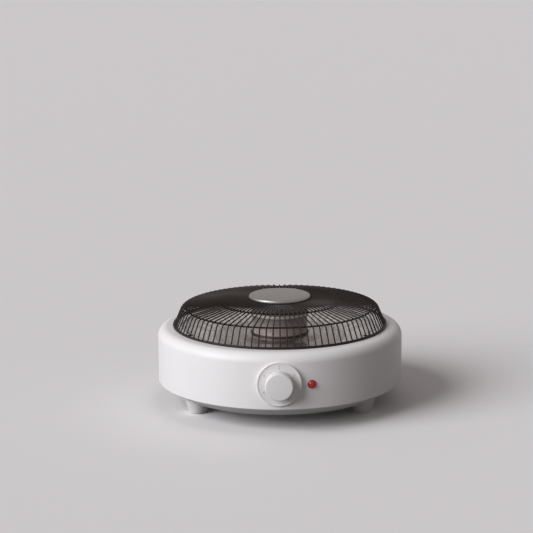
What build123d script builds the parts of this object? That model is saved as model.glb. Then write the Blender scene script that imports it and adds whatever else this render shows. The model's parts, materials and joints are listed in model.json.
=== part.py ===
from build123d import *
import math
import os

# Electric brazier: a low round heater with a domed wire guard, made to stand under a round table.
# Sizes are in millimetres. Everything is built round the casing's upright axis, with the floor at
# height 0 and the front at -Y. At the end it is shifted along Y, so that its box is centred on the
# origin. Azimuths are in degrees from the front, growing towards +X.

# Casing
case_radius = 185.0
case_top = 118.0
shoulder_radius = 15.0
shoulder_bevel = 7.0
case_wall = 3.0
mouth_edge = 1.0
parting_height = 36.0

# Base pan
band_width = 29.0
pan_wall = 3.0
tongue_height = 6.0
tongue_wall = 2.6
vent_count = 16
vent_width = 4.0
vent_start = 62.0
vent_length = 44.0

# Feet
foot_height = 20.0
foot_sole_radius = 13.2
foot_taper = 18.5
foot_edge = 2.0
foot_setback = 44.0
foot_azimuths = (-60, 60, 180)
foot_counterbore = 11.0
foot_boss = 8.0

# Wire guard
wire_count = 96
guard_turn = 0.5
wire_size = 2.0
wire_start = 38.0
crown_radius = 85.0
flare_angle = 22.9
guard_bend = 8.5
bend_chord_count = 2
ring_bar = 2.6
ring_side_count = 6
base_ring_bar = 3.6
ring_inset = 24.5
shoulder_inset = 19.0
shoulder_ring_rise = 27.3
inner_ring_step = 8.5
inner_ring_rise = 36.2
weld_lap = 0.3
weld_drop = 1.2

# Centre disc, and the hub plate that clamps the wires to it
disc_radius = 46.5
disc_height = 4.8
disc_rounding = 3.4
disc_sheet = 1.2
disc_seat_width = 8.0
disc_boss_radius = 6.0
disc_screw_depth = 4.0
hub_plate_radius = 45.0
hub_seat_width = 8.0
hub_sheet = 1.4
hub_dish = 2.2

# Tabs of the guard, and the screws through the casing's lip
tab_count = 3
first_tab = -17
tab_width = 12.0
tab_sheet = 1.2
screw_inset = 7.2
lip_margin = 4.8

# Reflector dish
dish_sheet = 0.8
flange_margin = 6.2
rim_lap = 4.0
dish_floor_radius = 110.0
dish_depth = 14.0
dish_chord_count = 5
step_outer_radius = 64.0
step_inner_radius = 55.0
step_height = 4.5

# Heater drum
drum_radius = 42.0
drum_height = 30.0
mica_sheet = 0.9
foot_ring_radius = 44.0
foot_ring_sheet = 2.0
cap_radius = 43.4
cap_sheet = 1.2
cap_skirt = 3.0
cap_edge = 0.8
core_radius = 31.0
core_wall = 2.0
winding_thickness = 0.8
winding_width = 11.0
winding_margin = 2.5
skirt_clearance = 0.05
stud_size = 6.0
stud_nut_across = 10.0
stud_nut_height = 5.0
stud_spare = 2.0
bush_ring_radius = 20.0
bush_azimuths = (30, 150, 270)
bush_radius = 4.5
bush_bore = 1.7
bush_head_radius = 6.0
bush_head = 3.0
bush_stand = 4.0

# Controls on the front wall
control_height = 74.2
dial_radius = 32.0
dial_thickness = 2.6
dial_rim_width = 1.6
dial_rim_height = 0.7
dial_pocket_radius = 9.5
knob_radius = 20.0
knob_length = 16.5
knob_wall = 2.2
knob_edge = 1.2
knob_gap = 1.0
knob_hub_radius = 6.0
mark_width = 1.4
mark_depth = 0.8
mark_length = 5.0
off_angle = -120
shaft_size = 6.0
shaft_clearance = 0.05
bushing_size = 10.0
bushing_stand = 3.4
switch_width = 28.0
switch_depth = 18.0
switch_pad = 4.0
switch_floor = 2.0
switch_nut_across = 14.0
switch_nut_height = 2.4
blade_width = 4.8
blade_sheet = 0.8
blade_length = 7.0

# Pilot lamp
lamp_azimuth = 14.5
lamp_height = 72.3
lens_radius = 6.3
lens_flange = 1.2
lens_dome = 3.4
lens_dome_radius = 5.6
lens_chord_count = 3
lamp_radius = 4.6
lamp_length = 24.0
lamp_clip_radius = 8.0
lamp_clip_sheet = 1.6

# Mains inlet at the back: bush, and the clamp that would hold a cord behind it
inlet_height = 53.5
inlet_bore = 3.75
inlet_neck_radius = 6.5
inlet_flange_radius = 9.0
inlet_flange = 2.4
inlet_nose = 3.0
cord_room = 4.4
clamp_setback = 20.0
clamp_post = 8.0
clamp_span = 22.0
clamp_bar = 4.0
clamp_screw_grip = 8.0

# Terminal block on the pan floor
block_azimuth = 150
block_ring_radius = 92.0
block_boss = 4.0
block_width = 18.0
block_length = 34.0
block_height = 14.0
pole_count = 3
pole_screw_radius = 2.6
pole_screw_height = 1.4
pole_inset = 4.5

# Thermal cut-out under the dish
cutout_azimuth = 215
cutout_ring_radius = 88.0
cutout_can_radius = 8.0
cutout_can_height = 8.0
cutout_width = 28.0
cutout_depth = 12.0
cutout_sheet = 1.0
rivet_radius = 1.6
rivet_spacing = 22.0
rivet_head_radius = 2.6
rivet_head = 0.9

# Screws and fits
fastener_side_count = 6
screw_size = 4.0
screw_head_radius = 3.7
screw_head = 2.4
small_screw_size = 3.0
small_head_radius = 2.8
screw_clearance = 0.25
seat_clearance = 0.3
weld_clearance = 0.05
post_radius = 5.5
pan_screw_setback = 35.0
pan_screw_azimuths = (45, 135, 225, 315)
pan_post_top = 42.5
pan_post_shelf = 5.0
case_boss_length = 16.0
lip_nut_across = 7.0
lip_nut_height = 3.2
screw_spare = 1.5

# Sizes and places that follow from those above
pan_floor = foot_height + pan_wall
pan_post_height = pan_post_top - foot_height
lip_underside = case_top - case_wall
case_inside = case_radius - case_wall
pan_flat_radius = case_radius - band_width
foot_circle = case_radius - foot_setback
pan_screw_circle = case_radius - pan_screw_setback
base_ring_radius = case_radius - ring_inset
base_ring_middle = case_top + base_ring_bar / 2
base_ring_top = case_top + base_ring_bar
lip_screw_circle = base_ring_radius - screw_inset
mouth_radius = lip_screw_circle - lip_margin
dish_flange_radius = lip_screw_circle + flange_margin
dish_rim_radius = mouth_radius - rim_lap
dish_floor = lip_underside - dish_depth
pedestal = dish_floor + step_height
drum_foot = pedestal + foot_ring_sheet
drum_top = drum_foot + drum_height
control_face = case_radius + dial_thickness
switch_seat = case_inside - switch_pad
knob_back = control_face + knob_gap
knob_front = knob_back + knob_length
shaft_end = knob_front - knob_wall
clamp_seat = inlet_height + cord_room
pole_spacing = block_length / pole_count
screw_hole = screw_size / 2 + screw_clearance
axis_shift = (knob_front - case_radius - inlet_nose) / 2

# The underside of one guard wire: level over the hub, then the crown, the bend and the flare, whose
# foot laps the inner edge of the base ring's flat top
wire_step = 360 / wire_count
shoulder_ring_radius = base_ring_radius - shoulder_inset
shoulder_ring_height = case_top + shoulder_ring_rise
inner_ring_radius = crown_radius + inner_ring_step
inner_ring_height = case_top + inner_ring_rise
dome_run = (inner_ring_height - shoulder_ring_height) / (shoulder_ring_radius - inner_ring_radius)
dome_tilt = math.degrees(math.atan(dome_run))
ring_top = ring_bar / 2 / math.cos(math.atan(dome_run))
crown_under = inner_ring_height + ring_top + (inner_ring_radius - crown_radius) * dome_run
flare_run = math.tan(math.radians(flare_angle))
ring_top_edge = base_ring_radius - base_ring_bar / 2 * math.tan(math.pi / ring_side_count)
wire_foot = ring_top_edge + weld_lap - wire_size / math.cos(math.radians(flare_angle))
wire_end = base_ring_top - weld_drop
corner_under = (crown_under - dome_run * (wire_foot + flare_run * base_ring_top - crown_radius)) / (
    1 - dome_run * flare_run
)
corner_radius = wire_foot - flare_run * (corner_under - base_ring_top)

# The hub plate's rim carries the wires' inner ends, and its middle is dished down to the disc's boss
hub_seat_start = hub_plate_radius - hub_seat_width
hub_centre = crown_under - hub_dish


def on_wall(azimuth, height):
    """A plane on the casing's axis that faces outwards: x to the right seen from outside, y up."""
    angle = math.radians(azimuth)
    outwards = (math.sin(angle), -math.cos(angle), 0)
    return Plane((0, 0, height), x_dir=(math.cos(angle), math.sin(angle), 0), z_dir=outwards)


def on_floor(azimuth, radius, height=0.0):
    """A level plane out at an azimuth, with x outwards and z up."""
    angle = math.radians(azimuth)
    outwards = (math.sin(angle), -math.cos(angle), 0)
    return Plane((radius * outwards[0], radius * outwards[1], height), x_dir=outwards, z_dir=(0, 0, 1))


def rod(radius, length, start=0.0):
    """A cylinder along z that begins at a height."""
    return Pos(0, 0, start) * Cylinder(radius, length, align=(Align.CENTER, Align.CENTER, Align.MIN))


def peg(radius, length, start=0.0):
    """The plain six-sided form of a small screw, rivet or bush, and of the hole that it passes through."""
    return Pos(0, 0, start) * extrude(RegularPolygon(radius, fastener_side_count), length)


def tube(radius, bore, length, start=0.0):
    return rod(radius, length, start) - rod(bore, length, start)


def block(width, depth, height, start=0.0):
    """A box along z that begins at a height."""
    return Pos(0, 0, start) * Box(width, depth, height, align=(Align.CENTER, Align.CENTER, Align.MIN))


def turned(*corners):
    """Turn a closed outline of (radius, height) corners round z; a third number rounds a corner."""
    face = make_face(Polyline(*[corner[:2] for corner in corners], close=True))
    for corner in corners:
        if len(corner) == 3:
            vertex = face.vertices().sort_by_distance((corner[0], corner[1], 0))[0]
            face = fillet(vertex, corner[2])
    return revolve(Plane.XZ * face, Axis.Z)


def chords(arc, count):
    """The ends of the straight stretches that stand for an arc."""
    return [arc @ (step / count) for step in range(count + 1)]


def screw(length, size=screw_size, head_radius=screw_head_radius):
    """A screw: the shank runs up from its plane, and the head hangs below it."""
    return peg(head_radius, screw_head, -screw_head) + peg(size / 2, length)


def nut(across, height):
    """A hexagon nut, without its bore."""
    return extrude(RegularPolygon(across / 2, 6, major_radius=False), height)


def write(name, *solids):
    """Write one node, shifted so that the whole object's box is centred on the origin."""
    moved = [Pos(0, axis_shift, 0) * solid for solid in solids]
    shape = moved[0] if len(moved) == 1 else Compound(children=moved)
    export_step(shape, os.path.join("parts", name + ".step"))


# Planes that several pieces line up on
tab_start = guard_turn + (first_tab + 0.5) * wire_step
tab_azimuths = [tab_start + 360 / tab_count * tab for tab in range(tab_count)]
lip_screws = [on_floor(azimuth, lip_screw_circle) for azimuth in tab_azimuths]
pan_screws = [on_floor(azimuth, pan_screw_circle) for azimuth in pan_screw_azimuths]
foot_screws = [on_floor(azimuth, foot_circle) for azimuth in foot_azimuths]
bushes = [on_floor(azimuth, bush_ring_radius) for azimuth in bush_azimuths]
control = on_wall(0, control_height)
lamp = on_wall(lamp_azimuth, lamp_height)
inlet = on_wall(180, inlet_height)
clamp = on_floor(180, case_inside - clamp_setback)
terminals = on_floor(block_azimuth, block_ring_radius)
block_fixing = terminals * Pos(0, pole_spacing / 2, 0)
cutout = on_floor(cutout_azimuth, cutout_ring_radius, dish_floor - dish_sheet)
clamp_sides = (-clamp_span / 2, clamp_span / 2)
rivet_places = [Pos(0, side, 0) for side in (-rivet_spacing / 2, rivet_spacing / 2)]
outside = rod(case_radius, case_top)
inside = rod(case_inside, case_top)
under_pan = turned(
    (0, 0),
    (case_radius, 0),
    (case_radius, parting_height),
    (pan_flat_radius, foot_height),
    (0, foot_height),
)


def casing_shell():
    """The white moulded casing: wall, rounded shoulder and lip, with its bosses and holes."""
    shell = turned(
        (case_radius, parting_height),
        (case_radius, case_top, shoulder_radius),
        (mouth_radius + mouth_edge, case_top),
        (mouth_radius, case_top - mouth_edge),
        (mouth_radius, lip_underside),
        (case_inside - shoulder_bevel, lip_underside),
        (case_inside, lip_underside - shoulder_bevel),
        (case_inside, parting_height),
    )
    pad_width = switch_width + 2 * case_wall
    shell += control * block(pad_width, pad_width, switch_pad + case_wall / 2, switch_seat)
    reach = case_inside - pan_screw_circle + case_wall / 2
    rib = Pos(reach / 2, 0, 0) * block(reach, case_wall, case_boss_length, pan_post_top)
    for plane in pan_screws:
        shell += plane * (peg(post_radius, case_boss_length, pan_post_top) + rib)
        shell -= plane * peg(screw_size / 2, case_boss_length - case_wall, pan_post_top)
    for plane in lip_screws:
        shell -= plane * peg(screw_hole, case_wall, lip_underside)
    shell -= control * rod(bushing_size / 2 + screw_clearance, case_radius)
    shell -= lamp * rod(lamp_radius + screw_clearance, case_radius)
    shell -= inlet * rod(inlet_neck_radius, case_radius)
    return shell


def base_pan():
    """The white pan under the casing: chamfered band, tongue, posts, vents and cord saddle."""
    slope = (parting_height - foot_height) / (case_radius - pan_flat_radius)
    rise = pan_wall * math.hypot(1, slope)
    tongue_out = case_inside - seat_clearance
    tongue_in = tongue_out - tongue_wall
    pan = turned(
        (0, foot_height),
        (pan_flat_radius, foot_height),
        (case_radius, parting_height),
        (tongue_out, parting_height),
        (tongue_out, parting_height + tongue_height),
        (tongue_in, parting_height + tongue_height),
        (tongue_in, foot_height + rise + (tongue_in - pan_flat_radius) * slope),
        (pan_flat_radius - (rise - pan_wall) / slope, pan_floor),
        (0, pan_floor),
    )
    for plane in pan_screws:
        pan += plane * peg(post_radius, pan_post_height, foot_height)
        pan -= plane * peg(screw_head_radius + screw_clearance, pan_post_height - pan_post_shelf, foot_height)
        pan -= plane * peg(screw_hole, pan_post_top)
    for plane in foot_screws:
        pan += plane * peg(post_radius, foot_boss, pan_floor)
        pan -= plane * peg(screw_size / 2, foot_boss, foot_height)
    vent = Pos(vent_start + vent_length / 2, 0, 0) * block(vent_length, vent_width, pan_wall, foot_height)
    for index in range(vent_count):
        pan -= Rot(0, 0, (index + 0.5) * 360 / vent_count) * vent
    pan += clamp * block(clamp_post, clamp_span, inlet_height - cord_room - pan_floor, pan_floor)
    clamp_hole = peg(small_screw_size / 2, clamp_screw_grip, clamp_seat - clamp_screw_grip)
    for side in clamp_sides:
        pan += clamp * Pos(0, side, 0) * block(clamp_post, clamp_post, clamp_seat - pan_floor, pan_floor)
        pan -= clamp * Pos(0, side, 0) * clamp_hole
    pan += block_fixing * peg(post_radius, block_boss, pan_floor)
    pan -= block_fixing * peg(small_screw_size / 2, block_boss, pan_floor)
    return pan - under_pan


def feet():
    """The tapered feet, bored from below for their screws and shaped to the pan's flat and band."""
    taper = math.tan(math.radians(foot_taper))
    body = turned(
        (0, parting_height),
        (foot_sole_radius + parting_height * taper, parting_height),
        (foot_sole_radius + foot_edge * taper, foot_edge),
        (foot_sole_radius - foot_edge / 2, 0),
        (0, 0),
    )
    body -= peg(screw_head_radius + 2 * screw_clearance, foot_counterbore) + peg(screw_hole, parting_height)
    return [plane * body & under_pan for plane in foot_screws]


def ring_section(radius, height, bar, tilt=0.0):
    """The section of a guard ring: straight-sided bar with a flat top, which can be tilted."""
    return Pos(radius, height) * RegularPolygon(bar / 2, ring_side_count, major_radius=False, rotation=-tilt)


def ring(*section):
    return revolve(Plane.XZ * ring_section(*section), Axis.Z)


def guard_wire():
    """One wire of the guard, along +X, with its foot shaped to the base ring's top and inner flank."""
    tail = (wire_foot + flare_run * base_ring_bar, case_top)
    crown = (crown_radius, crown_under)
    rounded = FilletPolyline(crown, (corner_radius, corner_under), tail, radius=guard_bend)
    bend = rounded.edges().filter_by(GeomType.CIRCLE)[0]
    underside = Polyline(
        (wire_start, crown_under),
        crown,
        *chords(bend, bend_chord_count),
        tail,
    )
    side = make_face(offset(underside, wire_size, kind=Kind.INTERSECTION, side=Side.LEFT))
    side -= Rectangle(2 * case_radius, wire_end, align=(Align.CENTER, Align.MIN))
    side -= ring_section(base_ring_radius, base_ring_middle, base_ring_bar + 2 * weld_clearance)
    return extrude(Plane.XZ * side, wire_size / 2, both=True)


def centre_disc():
    """The metal disc over the hub: rounded rim that seats on the wires, and a screw boss."""
    seat = crown_under + wire_size + weld_clearance
    disc_top = seat + disc_height
    disc = turned(
        (0, hub_centre),
        (disc_boss_radius, hub_centre),
        (disc_boss_radius, disc_top - disc_sheet),
        (disc_radius - disc_seat_width, disc_top - disc_sheet),
        (disc_radius - disc_seat_width, seat),
        (disc_radius, seat),
        (disc_radius, disc_top, disc_rounding),
        (0, disc_top),
    )
    return disc - peg(screw_size / 2, disc_screw_depth, hub_centre)


def guard_hub_plate():
    """The dished plate that carries the wires' inner ends."""
    plate = turned(
        (0, hub_centre),
        (hub_seat_start, hub_centre),
        (hub_seat_start, crown_under),
        (hub_plate_radius, crown_under),
        (hub_plate_radius, crown_under - hub_sheet),
        (hub_seat_start + hub_sheet, crown_under - hub_sheet),
        (hub_seat_start + hub_sheet, hub_centre - hub_sheet),
        (0, hub_centre - hub_sheet),
    )
    return plate - peg(screw_hole, hub_sheet, hub_centre - hub_sheet)


def guard_tabs():
    """The tabs inside the base ring: they lie on the lip, shaped to the ring's flank, with screw holes."""
    inner = lip_screw_circle - tab_width / 2 + mouth_edge
    reach = base_ring_radius - inner
    middle = inner + reach / 2 - lip_screw_circle
    tab = Pos(middle, 0, 0) * block(reach, tab_width, tab_sheet, case_top)
    tab -= peg(screw_hole, case_top + tab_sheet)
    base_ring = ring(base_ring_radius, base_ring_middle, base_ring_bar)
    return [plane * tab - base_ring for plane in lip_screws]


def reflector_dish():
    """The spun dish: flange under the lip, hollow curve, floor and raised pedestal."""
    run = dish_rim_radius - dish_floor_radius
    hollow = (run**2 + dish_depth**2) / (2 * dish_depth)
    flange = Line((dish_flange_radius, lip_underside), (dish_rim_radius, lip_underside))
    curve = RadiusArc(flange @ 1, (dish_floor_radius, dish_floor), hollow)
    upper = Polyline(
        flange @ 0,
        *chords(curve, dish_chord_count),
        (step_outer_radius, dish_floor),
        (step_inner_radius, pedestal),
        (0, pedestal),
    )
    sheet = make_face(offset(upper, dish_sheet, kind=Kind.TANGENT, side=Side.LEFT))
    dish = revolve(Plane.XZ * sheet, Axis.Z)
    for plane in lip_screws:
        dish -= plane * peg(screw_hole, dish_depth, dish_floor)
    for plane in bushes:
        dish -= plane * peg(bush_radius, 2 * dish_sheet, pedestal - dish_sheet)
    for place in rivet_places:
        dish -= cutout * place * peg(rivet_radius, dish_sheet)
    return dish - peg(stud_size / 2, pedestal)


def heater_foot_ring():
    ring_plate = rod(foot_ring_radius, foot_ring_sheet, pedestal) - peg(stud_size / 2, drum_top)
    for plane in bushes:
        ring_plate -= plane * peg(bush_radius, foot_ring_sheet, pedestal)
    return ring_plate


def heater_cap():
    """The drum's top: a pressed lid whose skirt goes over the mica sheet."""
    skirt_inside = drum_radius + skirt_clearance
    cap = turned(
        (0, drum_top),
        (skirt_inside, drum_top),
        (skirt_inside, drum_top - cap_skirt),
        (cap_radius, drum_top - cap_skirt),
        (cap_radius, drum_top + cap_sheet - cap_edge),
        (cap_radius - cap_edge, drum_top + cap_sheet),
        (0, drum_top + cap_sheet),
    )
    return cap - peg(stud_size / 2, drum_top + cap_sheet)


def heater_core():
    """The six-sided former of mica cards that the windings sit on."""
    return peg(core_radius, drum_height, drum_foot) - peg(core_radius - core_wall, drum_height, drum_foot)


def winding(start):
    """A resistance winding, as the closed band that its turns fill on the former."""
    return peg(core_radius + winding_thickness, winding_width, start) - peg(core_radius, winding_width, start)


def ceramic_bush():
    """A shouldered bush that brings a lead up through the dish and the foot ring."""
    through = dish_sheet + foot_ring_sheet
    bottom = pedestal - dish_sheet
    body = peg(bush_head_radius, bush_head, bottom - bush_head)
    body += peg(bush_radius, through + bush_stand, bottom)
    return body - peg(bush_bore, bush_head + through + bush_stand, bottom - bush_head)


def dial_plate():
    """The raised dial on the wall: its back follows the wall, and a thin rim edges its face."""
    back = case_radius - dial_radius / 2
    plate = rod(dial_radius, control_face - back, back)
    plate += tube(dial_radius, dial_radius - dial_rim_width, dial_rim_height, control_face)
    plate -= rod(dial_pocket_radius, dial_thickness + dial_radius, back)
    return control * plate - outside


def knob():
    """The knob: a plain cap with a hub on the shaft and a pointer notch at its edge."""
    hub_back = case_radius + bushing_stand + knob_gap
    cap = turned(
        (shaft_size / 2, hub_back),
        (knob_hub_radius, hub_back),
        (knob_hub_radius, shaft_end),
        (knob_radius - knob_wall, shaft_end),
        (knob_radius - knob_wall, knob_back),
        (knob_radius, knob_back),
        (knob_radius, knob_front - knob_edge),
        (knob_radius - knob_edge, knob_front),
        (0, knob_front),
        (0, shaft_end),
        (shaft_size / 2, shaft_end),
    )
    notch = Pos(0, knob_radius, 0) * block(mark_width, 2 * mark_length, mark_depth, knob_front - mark_depth)
    return control * (cap - Rot(0, 0, -off_angle) * notch)


def rotary_switch():
    """The power switch: box behind the wall's pad, and a threaded bushing out to the knob."""
    body = block(switch_width, switch_width, switch_depth, switch_seat - switch_depth)
    body += rod(bushing_size / 2, case_radius + bushing_stand - switch_seat, switch_seat)
    bore_start = switch_seat - switch_depth + switch_floor
    return control * (body - rod(shaft_size / 2 + shaft_clearance, case_radius, bore_start))


def switch_blades():
    """Four flat terminals on the switch's back."""
    blade = block(blade_sheet, blade_width, blade_length, switch_seat - switch_depth - blade_length)
    spread = switch_width / 4
    return [control * Pos(x, y, 0) * blade for x in (-spread, spread) for y in (-spread, spread)]


def pilot_lens():
    """The lamp's domed lens, whose flange is shaped to the wall."""
    base = case_radius + lens_flange
    start = case_radius - lens_radius
    sphere = (lens_dome_radius**2 + lens_dome**2) / (2 * lens_dome)
    dome = RadiusArc((lens_dome_radius, base), (0, base + lens_dome), -sphere)
    outline = [(point.X, point.Y) for point in chords(dome, lens_chord_count)]
    return lamp * turned((0, start), (lens_radius, start), (lens_radius, base), *outline) - outside


def thermal_cutout():
    """The thermal cut-out's can under its mounting plate, which has two rivet holes."""
    plate = block(cutout_depth, cutout_width, cutout_sheet, -cutout_sheet)
    for place in rivet_places:
        plate -= place * peg(rivet_radius, cutout_sheet, -cutout_sheet)
    return plate + rod(cutout_can_radius, cutout_can_height, -cutout_sheet - cutout_can_height)


def rivet():
    """A rivet through the dish and the cut-out's plate, with a head on each side."""
    shank = peg(rivet_radius, dish_sheet + cutout_sheet, -cutout_sheet)
    head = peg(rivet_head_radius, rivet_head)
    return shank + Pos(0, 0, dish_sheet) * head + Pos(0, 0, -cutout_sheet - rivet_head) * head


def cord_inlet():
    """The rubber bush in the back wall, with a flange on each side of the wall."""
    nose_start = case_radius - inlet_flange_radius
    nose = inlet * rod(inlet_flange_radius, inlet_flange_radius + inlet_nose, nose_start)
    neck = inlet * rod(inlet_neck_radius, case_wall + inlet_flange, case_inside - inlet_flange / 2) & outside
    rear = inlet * rod(inlet_flange_radius, inlet_flange + case_wall, case_inside - inlet_flange) & inside
    return nose - outside + neck + rear - inlet * rod(inlet_bore, case_radius + inlet_nose)


def terminal_screws():
    top = pan_floor + block_boss + block_height
    head = peg(pole_screw_radius, pole_screw_height, top)
    side = block_width / 2 - pole_inset
    rows = [(pole - (pole_count - 1) / 2) * pole_spacing for pole in range(pole_count)]
    return [terminals * Pos(x, y, 0) * head for x in (-side, side) for y in rows]


def build():
    first_wire = Rot(0, 0, guard_turn - 90) * guard_wire()
    hub_bottom = hub_centre - hub_sheet
    lip_stack = tab_sheet + case_wall + dish_sheet
    tab_top = case_top + tab_sheet
    dish_under = lip_underside - dish_sheet
    stud_start = pedestal - dish_sheet - stud_nut_height - stud_spare
    stud_stop = drum_top + cap_sheet + stud_nut_height + stud_spare
    shaft_start = switch_seat - switch_depth + switch_floor + knob_gap
    clip_seat = math.sqrt(case_inside**2 - lamp_clip_radius**2)
    block_bottom = pan_floor + block_boss

    write("casing_shell", casing_shell())
    write("base_pan", base_pan())
    write("feet", *feet())
    foot_screw = Pos(0, 0, foot_counterbore) * screw(foot_height + foot_boss - foot_counterbore)
    write("foot_screws", *[plane * foot_screw for plane in foot_screws])
    pan_screw = Pos(0, 0, pan_post_top - pan_post_shelf) * screw(pan_post_shelf + case_boss_length / 2)
    write("pan_screws", *[plane * pan_screw for plane in pan_screws])

    write("guard_wires", *[Rot(0, 0, index * wire_step) * first_wire for index in range(wire_count)])
    write("guard_base_ring", ring(base_ring_radius, base_ring_middle, base_ring_bar))
    write("guard_shoulder_ring", ring(shoulder_ring_radius, shoulder_ring_height, ring_bar, dome_tilt))
    write("guard_inner_ring", ring(inner_ring_radius, inner_ring_height, ring_bar, dome_tilt))
    write("guard_hub_plate", guard_hub_plate())
    write("centre_disc", centre_disc())
    write("disc_screw", Pos(0, 0, hub_bottom) * screw(hub_sheet + disc_screw_depth - screw_clearance))
    write("guard_tabs", *guard_tabs())
    lip_screw = Pos(0, 0, tab_top) * Rot(180, 0, 0) * screw(lip_stack + lip_nut_height + screw_spare)
    write("lip_screws", *[plane * lip_screw for plane in lip_screws])
    lip_nut = Pos(0, 0, dish_under - lip_nut_height) * nut(lip_nut_across, lip_nut_height)
    lip_nut -= peg(screw_size / 2, case_top)
    write("lip_nuts", *[plane * lip_nut for plane in lip_screws])

    write("reflector_dish", reflector_dish())
    write("heater_foot_ring", heater_foot_ring())
    write("heater_drum", tube(drum_radius, drum_radius - mica_sheet, drum_height, drum_foot))
    write("heater_cap", heater_cap())
    write("heater_core", heater_core())
    write("winding_low", winding(drum_foot + winding_margin))
    write("winding_high", winding(drum_top - winding_margin - winding_width))
    write("heater_stud", peg(stud_size / 2, stud_stop - stud_start, stud_start))
    stud_nut = nut(stud_nut_across, stud_nut_height) - peg(stud_size / 2, stud_nut_height)
    lower_nut = Pos(0, 0, pedestal - dish_sheet - stud_nut_height) * stud_nut
    write("heater_nuts", lower_nut, Pos(0, 0, drum_top + cap_sheet) * stud_nut)
    write("ceramic_bushes", *[plane * ceramic_bush() for plane in bushes])

    write("dial_plate", dial_plate())
    write("knob", knob())
    write("switch_shaft", control * rod(shaft_size / 2, shaft_end - shaft_start, shaft_start))
    write("rotary_switch", rotary_switch())
    switch_nut = Pos(0, 0, case_radius) * nut(switch_nut_across, switch_nut_height)
    write("switch_nut", control * (switch_nut - rod(bushing_size / 2, control_face + knob_length)))
    write("switch_blades", *switch_blades())
    write("pilot_lens", pilot_lens())
    write("pilot_lamp", lamp * rod(lamp_radius, lamp_length, case_radius - lamp_length) & outside)
    lamp_clip = peg(lamp_clip_radius, lamp_clip_sheet, clip_seat - lamp_clip_sheet)
    write("lamp_clip", lamp * (lamp_clip - rod(lamp_radius, case_radius)))

    write("cord_inlet", cord_inlet())
    small_hole = small_screw_size / 2 + screw_clearance
    bar_holes = [Pos(0, side, 0) * peg(small_hole, clamp_bar, clamp_seat) for side in clamp_sides]
    clamp_plate = block(clamp_post, clamp_span + clamp_post, clamp_bar, clamp_seat) - bar_holes
    write("cord_clamp", clamp * clamp_plate)
    clamp_shank = clamp_bar + clamp_screw_grip - screw_spare
    clamp_screw = Rot(180, 0, 0) * screw(clamp_shank, small_screw_size, small_head_radius)
    clamp_top = clamp_seat + clamp_bar
    write("clamp_screws", *[clamp * Pos(0, side, clamp_top) * clamp_screw for side in clamp_sides])
    terminal_block = terminals * block(block_width, block_length, block_height, block_bottom)
    write("terminal_block", terminal_block - block_fixing * peg(small_hole, block_height, block_bottom))
    write("terminal_screws", *terminal_screws())
    block_screw = Rot(180, 0, 0) * screw(block_height + block_boss, small_screw_size, small_head_radius)
    write("block_screw", block_fixing * Pos(0, 0, block_bottom + block_height) * block_screw)

    write("thermal_cutout", cutout * thermal_cutout())
    write("cutout_rivets", *[cutout * side * rivet() for side in rivet_places])


os.makedirs("parts", exist_ok=True)
build()
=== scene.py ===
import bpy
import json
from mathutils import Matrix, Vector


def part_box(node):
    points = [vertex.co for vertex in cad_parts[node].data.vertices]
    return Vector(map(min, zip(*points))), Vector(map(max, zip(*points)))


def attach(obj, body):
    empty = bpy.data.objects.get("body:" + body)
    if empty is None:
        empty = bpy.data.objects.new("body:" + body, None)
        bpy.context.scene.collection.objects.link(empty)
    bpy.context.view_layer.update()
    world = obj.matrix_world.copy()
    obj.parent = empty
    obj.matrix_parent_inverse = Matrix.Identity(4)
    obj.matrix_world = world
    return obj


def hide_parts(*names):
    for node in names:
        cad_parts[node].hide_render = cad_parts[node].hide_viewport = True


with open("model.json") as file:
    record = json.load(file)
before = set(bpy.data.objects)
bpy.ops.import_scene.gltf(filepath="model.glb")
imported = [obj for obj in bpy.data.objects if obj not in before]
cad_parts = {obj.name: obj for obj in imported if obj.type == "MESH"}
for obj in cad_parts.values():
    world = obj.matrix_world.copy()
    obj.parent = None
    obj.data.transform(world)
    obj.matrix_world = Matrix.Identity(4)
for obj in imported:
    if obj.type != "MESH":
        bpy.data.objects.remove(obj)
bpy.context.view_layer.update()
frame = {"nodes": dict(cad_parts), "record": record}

import json
import math

import bmesh
import bpy
from mathutils import Matrix, Vector

# The looks of a low round electric brazier. Sizes are in millimetres, measured from the casing's upright
# axis and the floor, and turn to metres when a piece is made. Azimuths are in degrees from the front,
# growing towards +X. Each visible piece that needs softer edges than its solid is turned or swept here.
MM = 0.001
TURN_STEPS = 192
SMALL_STEPS = 48
CORNER_STEPS = 6
SHOULDER_STEPS = 12
WIRE_BEND_STEPS = 9
MERGE_DISTANCE = 0.0001
SHARP_ANGLE = math.radians(32)
# Blender's wave texture turns by this many radians for each unit along its coordinate
WAVE_RADIANS = 20

# Casing, feet and base
case_radius = 185.0
case_top = 118.0
parting_height = 36.0
parting_gap = 0.35
shoulder_radius = 15.0
case_wall = 3.0
mouth_radius = 148.5
mouth_softness = 1.2
part_softness = 0.5
pan_flat_radius = 156.0
foot_height = 20.0
foot_sole_radius = 13.2
foot_taper = 18.5
foot_softness = 2.6
foot_circle = 141.0
foot_azimuths = (-60, 60, 180)
counterbore_radius = 4.2
counterbore_depth = 11.0
screw_hole_radius = 2.25

# Wire guard: the middle line of one wire, from under the disc to its weld on the base ring
wire_count = 96
wire_step = 360 / wire_count
guard_turn = 0.5
tab_count = 3
first_tab = -17
wire_radius = 1.0
wire_sides = 10
wire_start = (38.0, 158.1)
wire_crown = (85.1, 158.1)
wire_corner = (148.2, 146.4)
wire_foot = (159.1, 120.7)
crown_bend = 60.0
shoulder_bend = 9.5
# Rings: the radius and height of the middle line, then the radius of the wire
base_ring = (160.5, 119.8, 1.8)
shoulder_ring = (141.5, 145.3, 1.3)
inner_ring = (93.5, 154.2, 1.3)
ring_sides = 16

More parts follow.
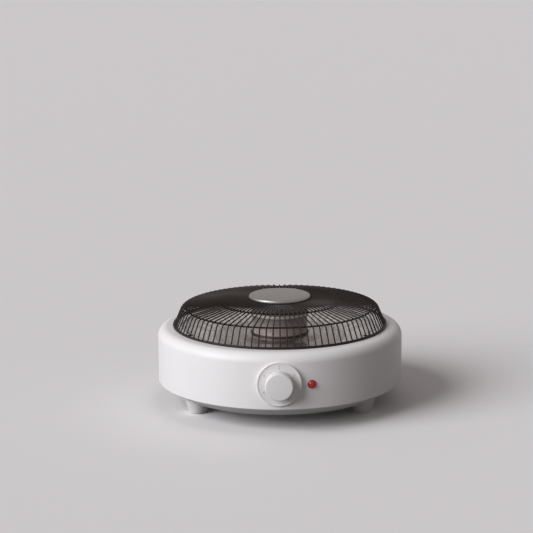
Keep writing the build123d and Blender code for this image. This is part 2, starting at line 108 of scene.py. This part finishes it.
# The tabs that hold the guard down stand midway between two wires
tab_start = guard_turn + (first_tab + 0.5) * wire_step
tab_azimuths = [tab_start + 360 / tab_count * tab for tab in range(tab_count)]

# Centre disc
disc_radius = 46.5
disc_height = 4.8
disc_rounding = 3.4
disc_sheet = 1.2
disc_lip = 0.5

# Screws
lip_screw_circle = 153.3
lip_screw_height = 119.2
pan_screw_circle = 150.0
pan_screw_azimuths = (45, 135, 225, 315)
pan_screw_seat = 37.5
screw_head_radius = 3.7
screw_head_height = 2.4
screw_head_rounding = 1.6
recess_width = 1.1
recess_length = 4.2
recess_depth = 1.3

# Reflector dish and heater drum
dish_sheet = 0.8
dish_flange_radius = 159.5
dish_flange_height = 115.0
dish_rim_radius = 144.5
dish_floor_radius = 110.0
dish_floor = 101.0
step_outer_radius = 64.0
step_inner_radius = 55.0
pedestal = 105.5
step_bend = 6.0
rim_bend = 3.0
dish_arc_steps = 16
dish_inner_setback = 8.0
foot_ring_sheet = 2.0
drum_radius = 42.0
drum_foot = pedestal + foot_ring_sheet
drum_top = 137.5
mica_sheet = 0.9
cap_radius = 43.4
cap_sheet = 1.2
cap_top = drum_top + cap_sheet
cap_skirt = 3.0
cap_clearance = 0.1
cap_rounding = 1.0
cap_skirt_rounding = 0.3
# The lid's painted highlight along its rim: how far in from the rim it starts, and from where it is full
highlight_rim_start = 1.4
highlight_rim_full = 0.4

# Controls
control_height = 74.2
dial_radius = 32.0
dial_back = 182.1
dial_thickness = 2.6
dial_face = case_radius + dial_thickness
dial_rim_width = 1.6
dial_rim_height = 0.7
dial_softness = 0.45
mark_circle = 24.6
mark_azimuths = (-120, -60, 0, 60)
mark_height = 4.6
digit_share = 0.7
ink_thickness = 0.05
knob_radius = 20.0
knob_gap = 1.0
knob_depth = 16.5
knob_back = dial_face + knob_gap
knob_front = knob_back + knob_depth
knob_wall = 2.2
knob_softness = 1.9
notch_width = 1.4
notch_length = 5.0
notch_depth = 0.8
off_angle = -120
lamp_azimuth = 14.5
lamp_height = 72.3
lens_radius = 6.3
lens_flange = 1.2
lens_dome = 3.4
lens_dome_radius = 5.6
lens_back = 182.2
lens_rounding = 0.4

# Mains inlet at the back
inlet_height = 53.5
inlet_bore = 3.75
inlet_neck = 6.5
inlet_flange = 9.0
inlet_front = 188.0
inlet_back = 179.6
inlet_seat = 184.3
inlet_bore_rounding = 0.6
inlet_mouth_rounding = 0.8
inlet_rim_rounding = 1.2

# Camera and light. Places are in metres, angles in degrees and the sensor in millimetres.
camera_offset = Vector((-0.0194, -2.4289, 0.6997))
camera_turn = 0.83
camera_pitch = 11.475
camera_roll = -0.473
camera_focal_pixels = 1640.9
picture_pixels = 533.0
sensor_width = 36.0
window_side = (-0.735, -0.475, 0.484)
window_strength = 2.92
window_softness = 42
room_light = 0.22
room_gleam = 0.60
room_shown = 0.85
room_tone = "F4EDEA"
window_tone = "FBFBFF"
floor_shown = "F7F5F5"
floor_bounce = "62605F"
floor_half_width = 40
camera_reach = 100

low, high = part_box("casing_shell")
axis = Vector((0.0, (low.y + high.y) / 2, 0.0))
scene = bpy.context.scene


def on_wall(azimuth, height):
    """The frame of a wall piece: x to the right seen from outside, y up, z outwards from the axis."""
    angle = math.radians(azimuth)
    right = (math.cos(angle), math.sin(angle), 0)
    outwards = (math.sin(angle), -math.cos(angle), 0)
    turn = Matrix((right, (0, 0, 1), outwards)).transposed().to_4x4()
    return Matrix.Translation((0, 0, height)) @ turn


def on_floor(azimuth, radius, height=0.0):
    """The frame of an upright piece at an azimuth, with x outwards and z up."""
    return Matrix.Rotation(math.radians(azimuth - 90), 4, "Z") @ Matrix.Translation((radius, 0, height))


def soften(corners, steps=CORNER_STEPS):
    """Outline points from (radius, height) corners, where a third number rounds the corner."""
    points = []
    for index, corner in enumerate(corners):
        here = Vector(corner[:2])
        if len(corner) == 2:
            points.append(here)
            continue
        before = (Vector(corners[index - 1][:2]) - here).normalized()
        after = (Vector(corners[(index + 1) % len(corners)][:2]) - here).normalized()
        half = before.angle(after) / 2
        centre = here + (before + after).normalized() * corner[2] / math.sin(half)
        first = (here + before * corner[2] / math.tan(half) - centre).normalized()
        last = (here + after * corner[2] / math.tan(half) - centre).normalized()
        points += [centre + first.slerp(last, step / steps) * corner[2] for step in range(steps + 1)]
    return points


def turned(outline, steps=TURN_STEPS):
    """A closed outline of (radius, height) points turned round z."""
    mesh = bmesh.new()
    rings = []
    for step in range(steps):
        angle = math.tau * step / steps
        rings.append([mesh.verts.new((r * math.cos(angle), r * math.sin(angle), z)) for r, z in outline])
    for step, ring in enumerate(rings):
        other = rings[(step + 1) % steps]
        for index in range(len(outline)):
            after = (index + 1) % len(outline)
            mesh.faces.new((ring[index], other[index], other[after], ring[after]))
    bmesh.ops.remove_doubles(mesh, verts=mesh.verts, dist=MERGE_DISTANCE)
    bmesh.ops.recalc_face_normals(mesh, faces=mesh.faces)
    return mesh


def circle(radius, height, bar):
    """The round section of a ring."""
    angles = [math.tau * side / ring_sides for side in range(ring_sides)]
    return [(radius + bar * math.cos(angle), height + bar * math.sin(angle)) for angle in angles]


def piece(name, mesh, slot, finish=None, body="base", at=Matrix(), replaced=()):
    """Make an object from a mesh in millimetres, put it in its frame and let it ride on its body. It has
    its slot's finish unless another is given."""
    data = bpy.data.meshes.new(name)
    bmesh.ops.transform(mesh, matrix=Matrix.Translation(axis) @ Matrix.Scale(MM, 4) @ at, verts=mesh.verts)
    mesh.to_mesh(data)
    mesh.free()
    data.polygons.foreach_set("use_smooth", [True] * len(data.polygons))
    data.set_sharp_from_angle(angle=SHARP_ANGLE)
    data.materials.append(finish or finishes[slot])
    made = bpy.data.objects.new(name, data)
    scene.collection.objects.link(made)
    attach(made, body)
    if replaced:
        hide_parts(*replaced)
    return made


def gathered(parts):
    """One mesh from several (mesh, frame) pairs, which it uses up."""
    whole = bmesh.new()
    for part, at in parts:
        bmesh.ops.transform(part, matrix=at, verts=part.verts)
        data = bpy.data.meshes.new("part")
        part.to_mesh(data)
        part.free()
        whole.from_mesh(data)
        bpy.data.meshes.remove(data)
    return whole


def block(width, depth, height, at=Matrix()):
    """A box that stands on its frame's origin."""
    mesh = bmesh.new()
    size = Matrix.Diagonal((width, depth, height, 1))
    bmesh.ops.create_cube(mesh, size=1, matrix=at @ Matrix.Translation((0, 0, height / 2)) @ size)
    return mesh


def cut(body, *tools):
    """The body mesh with the tool meshes taken away."""
    holders = []
    for mesh in (body, *tools):
        data = bpy.data.meshes.new("cut")
        mesh.to_mesh(data)
        mesh.free()
        holders.append(bpy.data.objects.new("cut", data))
        scene.collection.objects.link(holders[-1])
    for tool in holders[1:]:
        modifier = holders[0].modifiers.new("cut", "BOOLEAN")
        modifier.object = tool
        modifier.operation = "DIFFERENCE"
        modifier.solver = "EXACT"
    bpy.context.view_layer.update()
    result = bmesh.new()
    result.from_object(holders[0], bpy.context.evaluated_depsgraph_get())
    for holder in holders:
        bpy.data.meshes.remove(holder.data)
    return result


def linear(code):
    """A colour written as six hexadecimal sRGB digits, in linear light."""
    channels = [int(code[index : index + 2], 16) / 255 for index in (0, 2, 4)]
    return [c / 12.92 if c <= 0.04045 else ((c + 0.055) / 1.055) ** 2.4 for c in channels] + [1.0]


def add(tree, kind, inputs, **settings):
    """Add a shader node: its own settings, then for each input a value or the output that feeds it."""
    made = tree.nodes.new("ShaderNode" + kind)
    for name, value in settings.items():
        setattr(made, name, value)
    for name, value in inputs.items():
        if isinstance(value, bpy.types.NodeSocket):
            tree.links.new(value, made.inputs[name])
        else:
            made.inputs[name].default_value = value
    return made


def surface(name, inputs):
    """A material with one Principled surface, and the object's own coordinates to draw patterns in."""
    made = bpy.data.materials.new(name)
    made.use_nodes = True
    tree = made.node_tree
    tree.nodes.clear()
    shader = add(tree, "BsdfPrincipled", inputs)
    add(tree, "OutputMaterial", {"Surface": shader.outputs[0]})
    places = add(tree, "TexCoord", {}).outputs["Object"]
    return made, tree, shader, places


def clouds(tree, places, size, detail):
    """Noise whose patches are as wide as a size in millimetres."""
    inputs = {"Vector": places, "Scale": 1 / (size * MM), "Detail": detail}
    return add(tree, "TexNoise", inputs).outputs["Fac"]


def blend(tree, share, first, second):
    """A colour between two, each written in hexadecimal digits or fed by an output."""
    ends = [linear(end) if isinstance(end, str) else end for end in (first, second)]
    return add(tree, "Mix", {0: share, 6: ends[0], 7: ends[1]}, data_type="RGBA").outputs[2]


def spread(tree, value, ends, results=(0.0, 1.0)):
    """A value between two ends, mapped to results."""
    inputs = {
        "Value": value,
        "From Min": ends[0],
        "From Max": ends[1],
        "To Min": results[0],
        "To Max": results[1],
    }
    return add(tree, "MapRange", inputs).outputs[0]


def either(tree, first, second):
    """1 where one of two shares is 1."""
    return add(tree, "Math", {0: first, 1: second}, operation="MAXIMUM").outputs[0]


def about(roughness):
    """Two ends for a roughness that varies a little round its own value."""
    return roughness - 0.03, roughness + 0.04


def relief(tree, height, depth, strength):
    """The normal of a relief as deep as a size in millimetres."""
    return add(tree, "Bump", {"Height": height, "Strength": strength, "Distance": depth * MM}).outputs[0]


def drive(tree, shader, **sources):
    """Let outputs feed the surface's inputs."""
    for name, source in sources.items():
        tree.links.new(source, shader.inputs[name.replace("_", " ")])


def moulded_white(name, shade, worn_shade, roughness, peel):
    """White ABS injected in a polished mould: an even gloss with broad soft highlights, a faint orange peel
    in them, and a tone that is a little uneven over a hand's width."""
    made, tree, shader, places = surface(name, {"IOR": 1.53, "Specular IOR Level": 0.4})
    patches = clouds(tree, places, size=60, detail=3.0)
    drive(
        tree, shader,
        Base_Color=blend(tree, patches, shade, worn_shade),
        Roughness=spread(tree, patches, (0.3, 0.7), about(roughness)),
        Normal=relief(tree, clouds(tree, places, size=2.2, detail=2.0), peel, strength=0.5),
    )
    return made


def coated_wire():
    """Drawn steel wire, welded, dipped and baked dark brown: half matt, nearly black out of the light, with
    slight runs and grit in the coating."""
    made, tree, shader, places = surface("baked_brown_coating", {"IOR": 1.5, "Specular IOR Level": 0.25})
    runs = clouds(tree, places, size=7, detail=4.0)
    drive(
        tree, shader,
        Base_Color=blend(tree, runs, "1C1412", "2B1F1C"),
        Roughness=spread(tree, runs, (0.0, 1.0), (0.42, 0.58)),
        Normal=relief(tree, clouds(tree, places, size=0.7, detail=2.0), depth=0.05, strength=0.35),
    )
    return made


def from_axis(tree, places, first, last):
    """A share that grows from 0 to 1 between two distances from the casing's axis, in millimetres."""
    flat = add(tree, "Mapping", {"Vector": places, "Location": -axis, "Scale": (1, 1, 0)}).outputs[0]
    radius = add(tree, "VectorMath", {0: flat}, operation="LENGTH").outputs["Value"]
    return spread(tree, radius, (first * MM, last * MM))


def turned_metal(
    name, shade, dark_shade, roughness, groove, depth,
    darker_within=0.0, inner_tone="808080", inner_fade=4.0,
):
    """Sheet metal turned under a tool: rings round the casing's axis, which draw a highlight out sideways,
    and cloudy patches. The rings are drawn coarser than the real tool marks, which are too fine to show.
    Inside a radius its colour is darker."""
    made, tree, shader, places = surface(name, {"Metallic": 1.0})
    centred = add(tree, "Mapping", {"Vector": places, "Location": -axis}).outputs[0]
    scale = math.tau / (groove * MM) / WAVE_RADIANS
    wave = {"Vector": centred, "Scale": scale, "Distortion": 0.6, "Detail": 1.0}
    rings = add(tree, "TexWave", wave, wave_type="RINGS", rings_direction="Z").outputs["Fac"]
    bright = blend(tree, clouds(tree, places, size=30, detail=1.0), shade, dark_shade)
    inner_share = from_axis(tree, places, darker_within - inner_fade, darker_within)
    drive(
        tree, shader,
        Base_Color=blend(tree, inner_share, inner_tone, bright),
        Roughness=spread(tree, rings, (0.0, 1.0), about(roughness)),
        Normal=relief(tree, rings, depth, strength=0.3),
    )
    return made


def grained(name, shade, dark_shade, grain, depth, **inputs):
    """A plain surface with one grain: its colour and its relief follow the same noise."""
    constants = {key.replace("_", " "): value for key, value in inputs.items()}
    made, tree, shader, places = surface(name, constants)
    noise = clouds(tree, places, grain, detail=4.0)
    drive(
        tree, shader,
        Base_Color=blend(tree, noise, shade, dark_shade),
        Normal=relief(tree, noise, depth, strength=0.5),
    )
    return made


def mica():
    """Mica sheet pressed from overlapping flakes and a binder: dull taupe flakes a few millimetres wide with
    a weak pearly shine, and painted shade that darkens it towards the lid, where the disc and wires shade it."""
    made, tree, shader, places = surface("pressed_mica", {"Roughness": 0.45, "IOR": 1.58, "Coat Weight": 0.2})
    flake_width = 5
    flakes = add(tree, "TexVoronoi", {"Vector": places, "Scale": 1 / (flake_width * MM)})
    tone = add(tree, "SeparateColor", {"Color": flakes.outputs["Color"]})
    height = add(tree, "SeparateXYZ", {"Vector": places}).outputs["Z"]
    # painted shade: the mica turns darker towards the lid, standing in for the shadow of the disc and wires
    # above
    shade_towards_lid = spread(tree, height, (drum_foot * MM, drum_top * MM))
    mica_tone = blend(tree, tone.outputs[0], "9C8E88", "AEA19B")
    shaded_mica = blend(tree, tone.outputs[0], "4E433F", "5D514D")
    drive(
        tree, shader,
        Base_Color=blend(tree, shade_towards_lid, mica_tone, shaded_mica),
        Normal=relief(tree, tone.outputs[1], depth=0.05, strength=0.3),
    )
    return made


def lid_steel():
    """Plain steel sheet, pressed and then browned by heat: a dull grey-brown face, with a pale band painted
    along the bent rim as a highlight."""
    made, tree, shader, places = surface("heat_browned_lid", {"Metallic": 0.3, "Roughness": 0.5})
    # painted highlight: a pale band along the lid's rim
    painted_rim_highlight = from_axis(tree, places, cap_radius - highlight_rim_start, cap_radius - highlight_rim_full)
    stains = clouds(tree, places, size=8, detail=3.0)
    drive(
        tree, shader,
        Base_Color=blend(tree, painted_rim_highlight, blend(tree, stains, "8A7F7A", "A1958F"), "BDB5B0"),
        Normal=relief(tree, stains, depth=0.03, strength=0.4),
    )
    return made


finishes = {
    "casing_white": moulded_white("moulded_white_abs", "F3F1F1", "EEEBEB", 0.46, 0.02),
    # the feet come from a plainer, blasted mould, so they are duller
    "foot_white": moulded_white("moulded_foot_white", "F4F2F2", "EFECEB", 0.48, 0.04),
    "knob_white": moulded_white("moulded_knob_white", "F1EFEE", "EBE9E8", 0.38, 0.02),
    "dial_white": moulded_white("moulded_dial_white", "F0EEED", "EAE8E7", 0.38, 0.02),
    "guard_coating": coated_wire(),
    # stainless sheet, belt-ground: a soft grey sheen
    "satin_disc": turned_metal(
        "satin_stainless", "A3A19F", "989694", roughness=0.40, groove=3.0, depth=0.02,
    ),
    # aluminised steel, spun over a form: smooth, so wires and drum show in it as soft streaks
    "dish_metal": turned_metal(
        "spun_aluminised_steel", "E8E6E4", "DEDCDA", roughness=0.22, groove=8.0, depth=0.006,
        darker_within=dish_floor_radius - dish_inner_setback, inner_tone="BDBAB8",
    ),
    # thin bright zinc on rolled sheet: cool grey with a faint bloom
    "zinc_sheet": grained("zinc_plated_sheet", "A9ABAE", "9A9B9C", 4.0, 0.02, Metallic=1.0, Roughness=0.42),
    # the same zinc on small headed screws, brighter from tumbling
    "zinc_screw": grained("zinc_plated_screw", "B4B5B7", "A3A3A2", 1.0, 0.02, Metallic=1.0, Roughness=0.34),
    # steel strip browned by heat: a dark, dull band
    "dark_steel": grained("heat_browned_steel", "453B38", "544945", 6.0, 0.03, Metallic=0.7, Roughness=0.5),
    "mica_sheet": mica(),
    # rolled chrome-alloy ribbon with a thick grey-green oxide
    "resistance_ribbon": grained(
        "oxidised_resistance_ribbon", "5B5651", "47423E", 1.5, 0.03, Metallic=0.8, Roughness=0.5,
    ),
    # fired and left unglazed: chalky, no highlight
    "ceramic": grained("unglazed_steatite", "E4DFD2", "D8D1C2", 1.2, 0.05, Roughness=0.7, IOR=1.6),
    # moulded phenolic: black with a dull skin
    "dark_moulding": grained("black_phenolic", "1E1D1C", "2A2827", 1.5, 0.03, Roughness=0.45, IOR=1.6),
    # moulded polyamide: cream and waxy
    "pale_moulding": grained("pale_polyamide", "DAD7CB", "CFCBBE", 2.0, 0.03, Roughness=0.5, IOR=1.53),
    # turned and stamped brass without lacquer
    "brass_part": grained("plain_brass", "C9A35B", "B48E4A", 2.5, 0.02, Metallic=1.0, Roughness=0.33),
    # clear red polycarbonate over a dark lamp: deep red, a small soft highlight
    "red_lens": grained("red_polycarbonate", "BC0C0B", "AB0A0A", 3.0, 0.01, Roughness=0.3, IOR=1.58),
    # moulded soft rubber: no gloss, faint dust
    "inlet_rubber": grained("white_rubber", "DAD7D4", "CCC9C6", 1.5, 0.05, Roughness=0.6, IOR=1.52),
    # drawn aluminium with a satin face
    "rivet_metal": grained("plain_aluminium", "C4C4C4", "B2B2B1", 1.5, 0.02, Metallic=1.0, Roughness=0.38),
}
# matt grey pad-printing ink, a little uneven
printed_ink = grained("printed_grey_ink", "A19A97", "ABA5A2", 0.8, 0.01, Roughness=0.6)
lid_finish = lid_steel()

for entry in frame["record"]["subparts"]:
    mesh = frame["nodes"][entry["node"]].data
    mesh.materials.clear()
    mesh.materials.append(finishes[entry["material_slot"]])


def casing():
    outline = soften([
        (case_radius, parting_height + parting_gap, part_softness),
        (case_radius, case_top, shoulder_radius),
        (mouth_radius, case_top, mouth_softness),
        (mouth_radius, case_top - case_wall),
        (case_radius - shoulder_radius, case_top - case_wall),
        (case_radius - case_wall, case_top - shoulder_radius),
        (case_radius - case_wall, parting_height + parting_gap),
    ], steps=SHOULDER_STEPS)
    piece("casing_moulding", turned(outline), "casing_white", replaced=["casing_shell"])


def feet():
    flank = foot_sole_radius + parting_height * math.tan(math.radians(foot_taper))
    outline = soften([
        (counterbore_radius, 0, part_softness),
        (foot_sole_radius, 0, foot_softness),
        (flank, parting_height),
        (screw_hole_radius, parting_height),
        (screw_hole_radius, counterbore_depth),
        (counterbore_radius, counterbore_depth),
    ])
    parts = [(turned(outline, SMALL_STEPS), on_floor(azimuth, foot_circle)) for azimuth in foot_azimuths]
    above = 2 * parting_height
    pan = turned([
        (0, foot_height),
        (pan_flat_radius, foot_height),
        (case_radius, parting_height),
        (case_radius, above),
        (0, above),
    ])
    piece("tapered_feet", cut(gathered(parts), pan), "foot_white", replaced=["feet"])


def wire_line():
    """Points along the middle of one wire, with its bends rounded."""
    corners = [wire_start, (*wire_crown, crown_bend), (*wire_corner, shoulder_bend), wire_foot]
    return soften(corners, steps=WIRE_BEND_STEPS)


def wire_guard():
    line = wire_line()
    one = bmesh.new()
    rings = []
    for index, point in enumerate(line):
        along = (line[min(index + 1, len(line) - 1)] - line[max(index - 1, 0)]).normalized()
        across = Vector((-along.y, along.x))
        ring = []
        for side in range(wire_sides):
            angle = math.tau * side / wire_sides
            offset = across * wire_radius * math.sin(angle)
            place = (point.x + offset.x, wire_radius * math.cos(angle), point.y + offset.y)
            ring.append(one.verts.new(place))
        rings.append(ring)
    for ring, other in zip(rings, rings[1:]):
        for side in range(wire_sides):
            after = (side + 1) % wire_sides
            one.faces.new((ring[side], ring[after], other[after], other[side]))
    one.faces.new(rings[0][::-1])
    one.faces.new(rings[-1])
    bmesh.ops.recalc_face_normals(one, faces=one.faces)
    parts = [(one.copy(), on_floor(guard_turn + index * wire_step, 0)) for index in range(wire_count)]
    one.free()
    piece("round_guard_wires", gathered(parts), "guard_coating", replaced=["guard_wires"])
    for name, node, section in (
        ("base_ring_wire", "guard_base_ring", base_ring),
        ("shoulder_ring_wire", "guard_shoulder_ring", shoulder_ring),
        ("inner_ring_wire", "guard_inner_ring", inner_ring),
    ):
        piece(name, turned(circle(*section)), "guard_coating", replaced=[node])


def disc():
    top = (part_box("centre_disc")[1] - axis).z / MM
    seat = top - disc_height
    outline = soften([
        (0, top),
        (disc_radius, top, disc_rounding),
        (disc_radius, seat, disc_lip),
        (disc_radius - disc_sheet, seat),
        (disc_radius - disc_sheet, top - disc_sheet, disc_rounding / 2),
        (0, top - disc_sheet),
    ])
    piece("satin_disc", turned(outline), "satin_disc", replaced=["centre_disc"])


def screw_head():
    """A domed head with a crossed recess, standing on its seat."""
    dome = soften([
        (0, 0),
        (screw_head_radius, 0),
        (screw_head_radius, screw_head_height, screw_head_rounding),
        (0, screw_head_height),
    ])
    bottom = Matrix.Translation((0, 0, screw_head_height - recess_depth))
    bars = [block(recess_length, recess_width, 2 * recess_depth, bottom)]
    bars.append(block(recess_width, recess_length, 2 * recess_depth, bottom))
    return cut(turned(dome, SMALL_STEPS), *bars)


def screws():
    upright = Matrix()
    upside_down = Matrix.Rotation(math.pi, 4, "X")
    groups = (
        ("guard_screw_heads", "lip_screws", tab_azimuths, lip_screw_circle, lip_screw_height, upright),
        ("pan_screw_heads", "pan_screws", pan_screw_azimuths, pan_screw_circle, pan_screw_seat, upside_down),
        ("foot_screw_heads", "foot_screws", foot_azimuths, foot_circle, counterbore_depth, upside_down),
    )
    head = screw_head()
    for name, node, azimuths, radius, seat, way in groups:
        parts = [(head.copy(), on_floor(azimuth, radius, seat) @ way) for azimuth in azimuths]
        piece(name, gathered(parts), "zinc_screw", replaced=[node])
    head.free()


def dish():
    run = dish_rim_radius - dish_floor_radius
    rise = dish_flange_height - dish_floor
    hollow = (run**2 + rise**2) / (2 * rise)
    sweep = math.asin(run / hollow)
    bends = [sweep * step / dish_arc_steps for step in range(dish_arc_steps + 1)]
    curve = [
        (dish_floor_radius + hollow * math.sin(bend), dish_floor + hollow * (1 - math.cos(bend)))
        for bend in bends
    ]
    flange = [(dish_rim_radius + rim_bend, dish_flange_height), (dish_flange_radius, dish_flange_height)]
    upper = soften([
        (0, pedestal),
        (step_inner_radius, pedestal, step_bend),
        (step_outer_radius, dish_floor, step_bend),
        curve[0],
    ])
    upper += [Vector(point) for point in curve[1:] + flange]
    lower = [Vector((point.x, point.y - dish_sheet)) for point in reversed(upper)]
    piece("spun_dish", turned(upper + lower), "dish_metal", replaced=["reflector_dish"])


def heater():
    wall = soften([
        (drum_radius, drum_foot),
        (drum_radius, drum_top),
        (drum_radius - mica_sheet, drum_top),
        (drum_radius - mica_sheet, drum_foot),
    ])
    piece("mica_wall", turned(wall), "mica_sheet", replaced=["heater_drum"])
    lid = soften([
        (0, cap_top),
        (cap_radius, cap_top, cap_rounding),
        (cap_radius, drum_top - cap_skirt, cap_skirt_rounding),
        (drum_radius + cap_clearance, drum_top - cap_skirt),
        (drum_radius + cap_clearance, drum_top),
        (0, drum_top),
    ])
    piece("pressed_lid", turned(lid), "dark_steel", lid_finish, replaced=["heater_cap"])


def controls():
    front = on_wall(0, control_height)
    face = soften([
        (0, dial_back),
        (dial_radius, dial_back),
        (dial_radius, dial_face + dial_rim_height, dial_softness),
        (dial_radius - dial_rim_width, dial_face + dial_rim_height, dial_softness / 2),
        (dial_radius - dial_rim_width, dial_face, dial_softness / 2),
        (0, dial_face),
    ])
    piece("dial_moulding", turned(face), "dial_white", at=front, replaced=["dial_plate"])
    cap = soften([
        (0, knob_front),
        (knob_radius, knob_front, knob_softness),
        (knob_radius, knob_back, part_softness),
        (knob_radius - knob_wall, knob_back, part_softness),
        (knob_radius - knob_wall, knob_front - knob_wall),
        (0, knob_front - knob_wall),
    ])
    turn = Matrix.Rotation(-math.radians(off_angle), 4, "Z")
    bottom = turn @ Matrix.Translation((0, knob_radius - notch_length / 2, knob_front - notch_depth))
    notched = cut(turned(cap), block(notch_width, notch_length, 2 * notch_depth, bottom))
    piece("knob_cap", notched, "knob_white", body="knob", at=front, replaced=["knob"])


def dial_marks():
    """Plain digits printed round the knob. A digit is only a share of its font's size high."""
    front = on_wall(0, control_height)
    parts = []
    for index, azimuth in enumerate(mark_azimuths):
        curve = bpy.data.curves.new("digit", "FONT")
        curve.body = str(index)
        curve.size = mark_height / digit_share
        curve.extrude = ink_thickness
        curve.align_x = "CENTER"
        curve.align_y = "CENTER"
        holder = bpy.data.objects.new("digit", curve)
        scene.collection.objects.link(holder)
        bpy.context.view_layer.update()
        shaped = holder.evaluated_get(bpy.context.evaluated_depsgraph_get())
        data = bpy.data.meshes.new_from_object(shaped)
        digit = bmesh.new()
        digit.from_mesh(data)
        bpy.data.objects.remove(holder)
        angle = math.radians(azimuth)
        place = (mark_circle * math.sin(angle), mark_circle * math.cos(angle), dial_face)
        parts.append((digit, Matrix.Translation(place)))
    piece("dial_digits", gathered(parts), "dial_white", printed_ink, at=front)


def pilot_lamp():
    base = case_radius + lens_flange
    sphere = (lens_dome_radius**2 + lens_dome**2) / (2 * lens_dome)
    sweep = math.asin(lens_dome_radius / sphere)
    bends = [sweep * step / CORNER_STEPS / 2 for step in range(2 * CORNER_STEPS + 1)]
    dome = [Vector((sphere * math.sin(b), base + lens_dome - sphere * (1 - math.cos(b)))) for b in bends]
    flange = soften([
        (lens_dome_radius, base),
        (lens_radius, base, lens_rounding),
        (lens_radius, lens_back),
        (0, lens_back),
    ])
    lens = turned(dome + flange[1:], SMALL_STEPS)
    at = on_wall(lamp_azimuth, lamp_height)
    piece("lamp_lens", lens, "red_lens", at=at, replaced=["pilot_lens"])


def inlet():
    outline = soften([
        (inlet_bore, inlet_back, inlet_bore_rounding),
        (inlet_bore, inlet_front, inlet_mouth_rounding),
        (inlet_flange, inlet_front, inlet_rim_rounding),
        (inlet_flange, inlet_seat),
        (inlet_neck, inlet_seat),
        (inlet_neck, inlet_back),
    ])
    at = on_wall(180, inlet_height)
    piece("inlet_bush", turned(outline, SMALL_STEPS), "inlet_rubber", at=at, replaced=["cord_inlet"])


def stage():
    """A plain pale floor that fills the view. It looks pale, and throws back less light than it shows."""
    pale, tree, shader, _ = surface("pale_floor", {"Roughness": 0.8})
    rays = add(tree, "LightPath", {}).outputs
    looks = either(tree, rays["Is Camera Ray"], rays["Is Glossy Ray"])
    drive(tree, shader, Base_Color=blend(tree, looks, floor_bounce, floor_shown))
    mesh = bmesh.new()
    bmesh.ops.create_grid(mesh, x_segments=1, y_segments=1, size=floor_half_width)
    data = bpy.data.meshes.new("floor")
    mesh.to_mesh(data)
    mesh.free()
    data.materials.append(pale)
    floor = bpy.data.objects.new("floor", data)
    scene.collection.objects.link(floor)


def studio():
    """Soft window light from the left in front, and a pale room that metal and glass show brighter."""
    world = bpy.data.worlds.new("studio")
    scene.world = world
    world.use_nodes = True
    tree = world.node_tree
    tree.nodes.clear()
    rays = add(tree, "LightPath", {}).outputs
    gleams = either(tree, rays["Is Glossy Ray"], rays["Is Transmission Ray"])
    level = spread(tree, gleams, (0.0, 1.0), (room_light, room_gleam))
    seen = {0: rays["Is Camera Ray"], 2: level, 3: room_shown}
    level = add(tree, "Mix", seen, data_type="FLOAT").outputs[0]
    room = add(tree, "Background", {"Color": linear(room_tone), "Strength": level})
    add(tree, "OutputWorld", {"Surface": room.outputs[0]})
    light = bpy.data.lights.new("window_light", "SUN")
    light.energy = window_strength
    light.angle = math.radians(window_softness)
    light.color = linear(window_tone)[:3]
    holder = bpy.data.objects.new("window_light", light)
    holder.rotation_euler = Vector(window_side).to_track_quat("Z", "Y").to_euler()
    scene.collection.objects.link(holder)
    scene.view_settings.view_transform = "Standard"


def camera():
    made = bpy.data.cameras.new("camera")
    made.sensor_width = sensor_width
    made.lens = camera_focal_pixels / picture_pixels * sensor_width
    made.clip_end = camera_reach
    holder = bpy.data.objects.new("camera", made)
    turn = Matrix.Rotation(math.radians(camera_turn), 4, "Z")
    pitch = Matrix.Rotation(math.radians(90 - camera_pitch), 4, "X")
    roll = Matrix.Rotation(math.radians(camera_roll), 4, "Z")
    holder.matrix_world = Matrix.Translation(axis) @ turn @ Matrix.Translation(camera_offset) @ pitch @ roll
    scene.collection.objects.link(holder)
    scene.camera = holder


camera()
studio()
stage()
casing()
feet()
wire_guard()
disc()
screws()
dish()
heater()
controls()
dial_marks()
pilot_lamp()
inlet()
